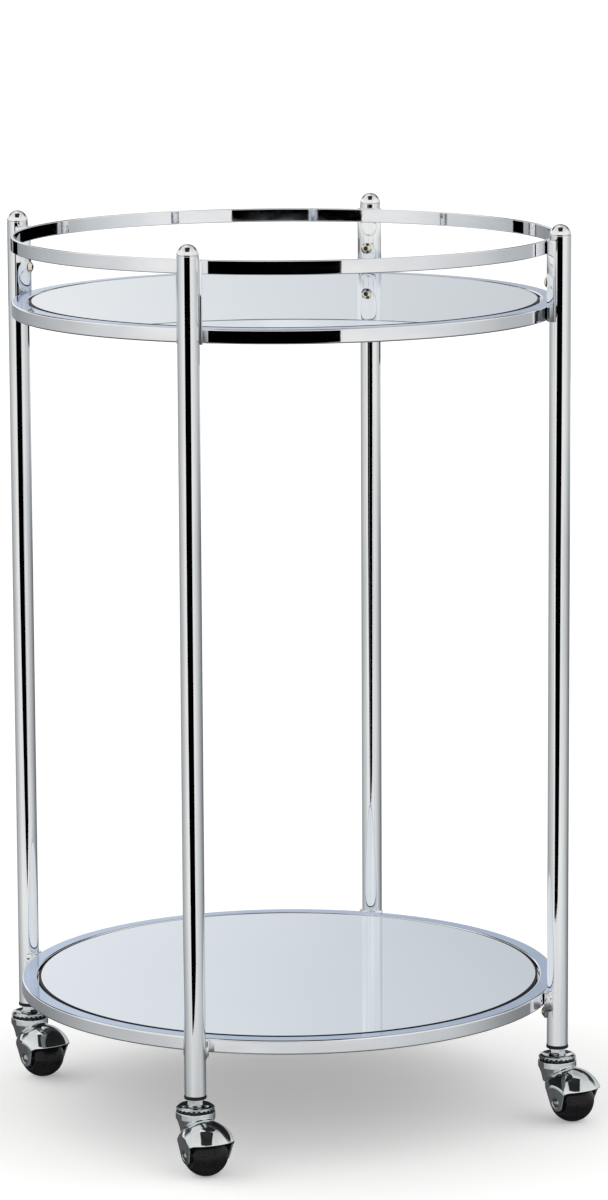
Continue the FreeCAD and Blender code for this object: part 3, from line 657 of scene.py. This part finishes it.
def hoodField(x, y, z):
    # signed distance to the cast hood, below zero in the metal
    along, rise = x - trail, z - wheelHeight
    swivel, axle = np.hypot(x, y), np.hypot(along, rise)
    above, here, below = (np.interp(z + lift, hornHeights, hornRadii) for lift in (hairline, 0, -hairline))
    horn = (swivel - here) / np.hypot(1, (above - below) / (2 * hairline))
    horn = roundMax(roundMax(horn, z - hornTop, hood["edge"]), hornTop - hood["footDrop"] - z, hood["cutEdge"])
    metal = roundMin(hollowField(x, y, z, 0), horn, hood["hornBlend"])
    metal = roundMax(metal, -hollowField(x, y, z, hood["wall"]), hood["edge"])
    metal = roundMax(metal, rimField(along, rise), hood["edge"])
    boss = np.maximum(hood["bossStart"] - np.abs(y), np.abs(y) - axleRivet["seat"])
    metal = np.minimum(metal, np.maximum(axle - hood["boss"], boss))
    # holes for the axle, its heads and the stem, a pocket for the stem's foot, and the balls' groove
    cuts = [axle - hood["axleBore"], np.maximum(axle - hood["headPocket"], axleRivet["seat"] - np.abs(y)),
            swivel - hood["stemHole"], np.maximum(swivel - hood["stemPocket"], z - hood["pocketTop"]),
            np.hypot(swivel - dustCap["ballCircle"], z - capBottom + dustCap["ballDrop"]) - hood["ballGroove"]]
    for cut in cuts:
        metal = roundMax(metal, -cut, hood["cutEdge"])
    return metal


def fieldSlope(field, points):
    parts = []
    for axis in np.eye(3) * hoodGrid["slopeStep"]:
        parts.append((field(*(points + axis).T) - field(*(points - axis).T)) / (2 * hoodGrid["slopeStep"]))
    return np.stack(parts, -1)


def fieldSurface(field, low, high):
    # one point in each cell that the surface crosses, drawn onto the surface down the field's slope,
    # and one quad round each grid edge that it crosses, turned to face up the slope
    cell, longest, reach = hoodGrid["cell"], hoodGrid["longestMove"], hoodGrid["reach"]
    axes = [np.arange(a, b, cell) for a, b in zip(low, high)]
    inside = field(*np.meshgrid(*axes, indexing="ij")) < 0
    count = sum(inside[i:i - 1 or None, j:j - 1 or None, k:k - 1 or None].astype(int)
                for i in (0, 1) for j in (0, 1) for k in (0, 1))
    crossed = (count > 0) & (count < 8)
    number = np.full(crossed.shape, -1)
    number[crossed] = np.arange(crossed.sum())
    points = np.stack(np.nonzero(crossed), -1) * cell + np.array(low) + cell / 2
    start = points.copy()
    for draw in range(hoodGrid["draws"]):
        slope = fieldSlope(field, points)
        steepness = np.maximum((slope ** 2).sum(-1), hoodGrid["leastSlope"])
        move = slope * (field(*points.T) / steepness)[:, None]
        length = np.maximum(np.linalg.norm(move, axis=-1, keepdims=True), 1e-12)
        points -= move * np.minimum(1, longest * cell / length)
    points = start + np.clip(points - start, -reach * cell, reach * cell)
    quads = []
    for axis in range(3):
        side, cells = np.moveaxis(inside, axis, 0), np.moveaxis(number, axis, 0)
        i, j, k = np.nonzero(side[:-1, 1:-1, 1:-1] != side[1:, 1:-1, 1:-1])
        corners = [cells[i, j, k], cells[i, j + 1, k], cells[i, j + 1, k + 1], cells[i, j, k + 1]]
        quads.append(np.stack(corners, -1))
    quads = np.concatenate(quads)
    slope = fieldSlope(field, points)
    slope /= np.linalg.norm(slope, axis=-1, keepdims=True)
    facing = np.cross(points[quads[:, 2]] - points[quads[:, 0]], points[quads[:, 3]] - points[quads[:, 1]])
    turnedIn = (facing * slope[quads].sum(1)).sum(-1) < 0
    quads[turnedIn] = quads[turnedIn, ::-1]
    return points, quads, slope


def buildHoods():
    # one surface is worked out and placed four times; faces that line the hollow have the dull finish
    past, (left, right) = hoodGrid["past"], hoodGrid["across"]
    low = (-hood["hornRadius"] - past, left, wheelHeight - hood["tongue"] - hoodGrid["pastTongue"])
    high = (trail + hood["radius"] + past, right, hornTop + past)
    points, quads, slope = fieldSurface(hoodField, low, high)
    lining = np.abs(hollowField(*points[quads].mean(1).T, hood["wall"])) < smallBevel
    print("hood surface:", len(points), "points", len(quads), "quads")
    for place in placeNames:
        name, angle = titled("casterHood", place), trailAngle[place]
        mesh = bpy.data.meshes.new(name)
        mesh.from_pydata(placed(points, angle, postAt[place]).tolist(), [], quads.tolist())
        mesh.polygons.foreach_set("material_index", lining.astype(np.int32))
        mesh.shade_smooth()
        finishPiece(name, mesh, "caster_hood_" + place, "swivel_" + place,
                    ["castChrome", "hoodInside"])
        mesh.normals_split_custom_set_from_vertices(placed(slope, angle, (0, 0)).tolist())


def buildCaster(place):
    def casterPiece(name, node, body, material, grid, loops, sharp):
        surface = placed(grid, trailAngle[place], postAt[place])
        makePiece(titled(name, place), node + place, [material], [(surface, *loops, 0)], sharp, body)

    casterPiece("dustCap", "dust_cap_", "cart_frame", "pressedChrome", capGrid(), (True, True),
                dustCap["sharp"])
    casterPiece("casterStem", "caster_stem_", "cart_frame", "pressedChrome", stemGrid(), (False, True),
                stem["sharp"])
    rivet, wheel = aboutAxle(rivetLine(), axleRivet["steps"]), aboutAxle(wheelLine(), ballWheel["steps"])
    # the rivet's finish carries painted shade of its pockets in the hood
    casterPiece("axleRivet", "caster_axle_", "swivel_" + place, "rivetSteelPocketShade", rivet, (True, False),
                axleRivet["sharp"])
    casterPiece("ballWheel", "caster_wheel_", "roller_" + place, "wheelNylon", wheel, (True, True),
                ballWheel["sharp"])


for place in placeNames:
    buildCaster(place)
buildHoods()
print("casters made")


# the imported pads, threaded inserts and bearing balls keep their shape and get a finish
keptParts = {"upper_glass_pads": "clearPad", "lower_glass_pads": "clearPad",
             "upper_threaded_inserts": "greasedSteel", "lower_threaded_inserts": "greasedSteel"}
keptParts |= {"bearing_balls_" + place: "greasedSteel" for place in placeNames}
for node, material in keptParts.items():
    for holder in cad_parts[node].material_slots:
        holder.material = finish[material]
print("kept parts dressed")


studioCamera = {"place": (-1.9059, -3.8344, 1.2061), "ahead": (0.4485, 0.8938), "pitch": 0.17189,
                "roll": -0.00524, "lens": 143.574, "farEnd": 200}
floorTone = 0.92
studioFloor = {"radius": 60.0, "points": 128, "look": {
    "sockets": {"Roughness": 0.9, "Specular IOR Level": 0.0, "Emission Color": (1, 1, 1, 1),
                "Emission Strength": 0.31},
    "cloud": (3.0,), "dark": (floorTone * 0.99,) * 3, "light": (floorTone,) * 3}}
backdrop = {"share": 0.98, "glow": 1.02, "around": 48, "up": 24}
softLight = {"angle": 2.2, "strength": 0.88}
# black shapes that only show in the chrome, in plan: x to the camera's right, then the way to the camera;
# the strip lies on the floor, and the flags stand between two heights
darkStrip = {"height": -0.001, "outline": [(-0.26, 0.68), (-0.75, 1.30), (-1.90, 2.45), (-7.83, 11.6),
                                           (5.80, 12.9), (1.95, 4.75), (1.00, 3.00), (0.20, 0.95)]}
darkFlags = {"rightFlag": {"ends": [(0.60, -0.53), (0.11, -0.94)], "bottom": 0.58, "top": 0.735},
             "leftFlag": {"ends": [(-0.581, -0.548), (-0.482, -0.642)], "bottom": 0.66, "top": 0.730},
             "farFlag": {"ends": [(-0.4285, -0.6925), (-0.350, -0.767)], "bottom": 0.66, "top": 0.730}}
# a grey card on the left of each caster, in two flat parts round the wheel at these angles, seen only in
# reflections: painted shade that stands in for the floor in the cart's shadow as the hoods reflect it
casterShadeCard = {"away": 0.07, "angles": (-92, -118, -144), "bottom": -0.001, "top": 0.05, "tone": 0.11}
# light round the horizon, by angle from the camera's side in degrees, + to the camera's right:
# for what looks down, for what looks steeply down, for what looks level, and for what looks up
lowRound = [(-180, 0.35), (-150, 0.35), (-120, 0.45), (-97, 0.55), (-80, 0.65), (-54, 0.88), (-45, 0.90),
            (0, 0.85), (20, 0.92), (41, 0.82), (67, 0.68), (81, 0.56), (97, 0.42), (116, 0.25), (130, 0.25),
            (145, 0.10), (158, 0.10), (164, 0.45), (180, 0.35)]
steepRound = [(-180, 0.20), (-150, 0.14), (-128, 0.14), (-110, 0.33), (-94, 0.45), (-67, 0.50), (-50, 0.55),
              (-33, 0.70), (-12, 0.72), (8, 0.65), (40, 0.61), (62, 0.64), (75, 0.62), (88, 0.53), (104, 0.33),
              (121, 0.27), (148, 0.13), (180, 0.20)]
levelRound = [(-180, 0.40), (-154, 0.33), (-118, 0.52), (-101, 0.60), (-86, 0.70), (-74, 0.76), (-52, 0.90),
              (0, 0.92), (40, 0.90), (60, 0.85), (90, 0.66), (104, 0.55), (125, 0.50), (136, 0.62), (146, 0.85),
              (162, 0.40), (180, 0.40)]
highRound = [(-180, 0.78), (-176.5, 0.92), (-168, 1.0), (-90, 0.95), (0, 0.95), (90, 0.92), (165, 0.60),
             (176.5, 0.65), (180, 0.78)]
# where one ring of light gives way to the next, and the steepest loses light, by height: the sine of the
# angle above the horizon
skyBands = {"steepToLow": (-0.275, -0.235), "lowToLevel": (-0.16, -0.13), "levelToHigh": (-0.02, 0.06),
            "steepFade": (-0.42, -0.30), "fadeBy": 0.7, "fadeTo": 0.3}
# light by height, multiplied by highRound
upward = [(0.0, 1.0), (0.45, 1.0), (0.70, 0.90), (0.90, 0.80), (0.97, 1.1), (1.0, 1.2)]
# a dark band behind the cart, and a dark patch overhead between gapHalf to the left and to the right
darkAbove = {"behind": (112.0, 126.0), "bottom": (0.30, 0.35), "top": (0.65, 0.60), "depth": 0.93,
             "gapAngle": math.radians(-3), "gapHalf": (0.36, 0.34), "gapLow": (0.62, 0.64),
             "gapBack": (-0.09, -0.06), "gapDepth": 0.97}


def cameraAxes():
    ahead = Vector((*studioCamera["ahead"], 0)).normalized()
    right = Vector((ahead.y, -ahead.x, 0))
    return ahead, right


def placeCamera():
    ahead, right = cameraAxes()
    pitch, roll = studioCamera["pitch"], studioCamera["roll"]
    forward = ahead * math.cos(pitch) - Vector((0, 0, math.sin(pitch)))
    level = ahead * math.sin(pitch) + Vector((0, 0, math.cos(pitch)))
    across = right * math.cos(roll) + level * math.sin(roll)
    above = level * math.cos(roll) - right * math.sin(roll)
    data = bpy.data.cameras.new("studioCamera")
    data.lens = studioCamera["lens"]
    data.clip_end = studioCamera["farEnd"]
    camera = bpy.data.objects.new("studioCamera", data)
    bpy.context.scene.collection.objects.link(camera)
    turn = Matrix((across, above, -forward)).transposed().to_4x4()
    camera.matrix_world = Matrix.Translation(studioCamera["place"]) @ turn
    bpy.context.scene.camera = camera


def stagePiece(name, mesh, material, seenBy):
    mesh.materials.append(material)
    piece = bpy.data.objects.new(name, mesh)
    bpy.context.scene.collection.objects.link(piece)
    for ray in ("camera", "diffuse", "glossy", "transmission", "shadow"):
        setattr(piece, "visible_" + ray, ray in seenBy)


def glowing(name, tone, strength):
    material = bpy.data.materials.new(name)
    material.use_nodes = True
    tree = material.node_tree
    tree.nodes.clear()
    glow = newNode(tree, "Emission", {"Color": (tone, tone, tone, 1), "Strength": strength})
    newNode(tree, "OutputMaterial", {"Surface": glow.outputs[0]})
    return material


def buildStage():
    # a round pale floor, and a white dome behind all that only the camera sees
    disc = bpy.data.meshes.new("studioFloor")
    turn = wholeTurn(studioFloor["points"])
    rim = np.stack([np.cos(turn), np.sin(turn), 0 * turn], -1) * studioFloor["radius"]
    disc.from_pydata(rim.tolist(), [], [list(range(len(rim)))])
    stagePiece("studioFloor", disc, makeFinish("studioFloorPaint", studioFloor["look"]),
               ("camera", "diffuse", "transmission", "shadow"))
    dome = bpy.data.meshes.new("backdropDome")
    work = bmesh.new()
    bmesh.ops.create_uvsphere(work, u_segments=backdrop["around"], v_segments=backdrop["up"],
                              radius=studioFloor["radius"] * backdrop["share"])
    work.to_mesh(dome)
    work.free()
    stagePiece("backdropDome", dome, glowing("backdropGlow", 1, backdrop["glow"]), ("camera",))


def buildCards():
    # flat dark cards that only reflections see
    ahead, right = cameraAxes()
    shapes = {"darkStrip": [(x, s, darkStrip["height"]) for x, s in darkStrip["outline"]]}
    for name, flag in darkFlags.items():
        first, second = flag["ends"]
        shapes[name] = [(*first, flag["bottom"]), (*second, flag["bottom"]), (*second, flag["top"]),
                        (*first, flag["top"])]
    for name, corners in shapes.items():
        card = bpy.data.meshes.new(name)
        places = [tuple(right * x - ahead * s + Vector((0, 0, z))) for x, s, z in corners]
        card.from_pydata(places, [], [list(range(len(places)))])
        stagePiece(name, card, glowing(name + "Glow", 0, 0), ("glossy",))
    # grey cards round the casters: painted shade of the shadowed floor under the cart, for the hoods to reflect
    verts, faces = [], []
    for place in placeNames:
        first = len(verts)
        for degrees in casterShadeCard["angles"]:
            turn = math.radians(degrees)
            way = right * math.sin(turn) - ahead * math.cos(turn)
            foot = Vector((*wheelAt[place][:2], 0)) + way * casterShadeCard["away"]
            verts += [(foot.x, foot.y, casterShadeCard["bottom"]), (foot.x, foot.y, casterShadeCard["top"])]
        faces += [(k, k + 2, k + 3, k + 1) for k in range(first, len(verts) - 2, 2)]
    card = bpy.data.meshes.new("casterShadeCards")
    card.from_pydata(verts, [], faces)
    stagePiece("casterShadeCards", card, glowing("casterShadeCardGlow", casterShadeCard["tone"], 1), ("glossy",))


def buildWorld():
    # light by the way a ray goes: round the horizon by its angle, and up and down by its height
    world = bpy.data.worlds.new("studioWorld")
    bpy.context.scene.world = world
    world.use_nodes = True
    tree = world.node_tree
    ahead, right = cameraAxes()
    direction = newNode(tree, "TexCoord", {}).outputs["Generated"]

    def along(axis):
        return newNode(tree, "VectorMath", {0: direction, 1: axis}, operation="DOT_PRODUCT").outputs["Value"]

    def reckon(operation, *values):
        return newNode(tree, "Math", dict(enumerate(values)), operation=operation).outputs[0]

    def product(first, *others):
        for value in others:
            first = reckon("MULTIPLY", first, value)
        return first

    def mask(value, start, end):
        # 0 before the start and 1 after the end
        return spreadTo(tree, value, 0, 1, start, end)

    def tinted(colour, factor):
        return newNode(tree, "VectorMath", {0: colour, "Scale": factor}, operation="SCALE").outputs[0]

    def mixed(share, first, second):
        return newNode(tree, "Mix", {0: share, 6: first, 7: second}, data_type="RGBA").outputs[2]

    angle = product(reckon("ARCTAN2", along(right), along(-ahead)), 180 / math.pi)
    turn = reckon("MULTIPLY_ADD", angle, 1 / 360, 0.5)
    height = along((0, 0, 1))

    def ringLight(stops):
        # brightness by angle round the horizon: bright light is warm white, and less light is bluer
        colours = []
        for degrees, value in stops:
            white = (1.0, 0.99, 0.975) if value > 0.85 else (0.92 + 0.08 * value, 0.97 + 0.03 * value, 1.0)
            colours.append(((degrees + 180) / 360, [value * part for part in white]))
        return colourRamp(tree, turn, colours)

    # a ramp holds no more than 1, so the light upward is halved in it and doubled after it
    dark = darkAbove
    rise = colourRamp(tree, height, [(position, (value / 2,) * 3) for position, value in upward])
    band = product(mask(height, *dark["bottom"]), mask(height, *dark["top"]))
    band = product(mask(reckon("ABSOLUTE", angle), *dark["behind"]), band)
    kept = reckon("SUBTRACT", 1.0, product(band, dark["depth"]))
    sideways = right * math.cos(dark["gapAngle"]) + ahead * math.sin(dark["gapAngle"])
    gap = product(mask(reckon("ABSOLUTE", along(sideways)), *dark["gapHalf"]), mask(height, *dark["gapLow"]))
    gap = product(gap, mask(along(-ahead), *dark["gapBack"]))
    kept = product(kept, reckon("SUBTRACT", 1.0, product(gap, dark["gapDepth"])))
    high = tinted(ringLight(highRound), product(rise, kept, 2.0))
    fade = reckon("MULTIPLY_ADD", mask(height, *skyBands["steepFade"]), skyBands["fadeBy"], skyBands["fadeTo"])
    light = tinted(ringLight(steepRound), fade)
    light = mixed(mask(height, *skyBands["steepToLow"]), light, ringLight(lowRound))
    light = mixed(mask(height, *skyBands["lowToLevel"]), light, ringLight(levelRound))
    light = mixed(mask(height, *skyBands["levelToHigh"]), light, high)
    tree.links.new(light, tree.nodes["Background"].inputs["Color"])


def buildLight():
    data = bpy.data.lights.new("softLight", "SUN")
    data.angle = softLight["angle"]
    data.energy = softLight["strength"]
    lamp = bpy.data.objects.new("softLight", data)
    lamp.location = (0, 0, 3)
    lamp.visible_glossy = False
    bpy.context.scene.collection.objects.link(lamp)


placeCamera()
buildStage()
buildCards()
buildWorld()
buildLight()
bpy.context.scene.view_settings.view_transform = "Standard"
print("stage, light and camera made")
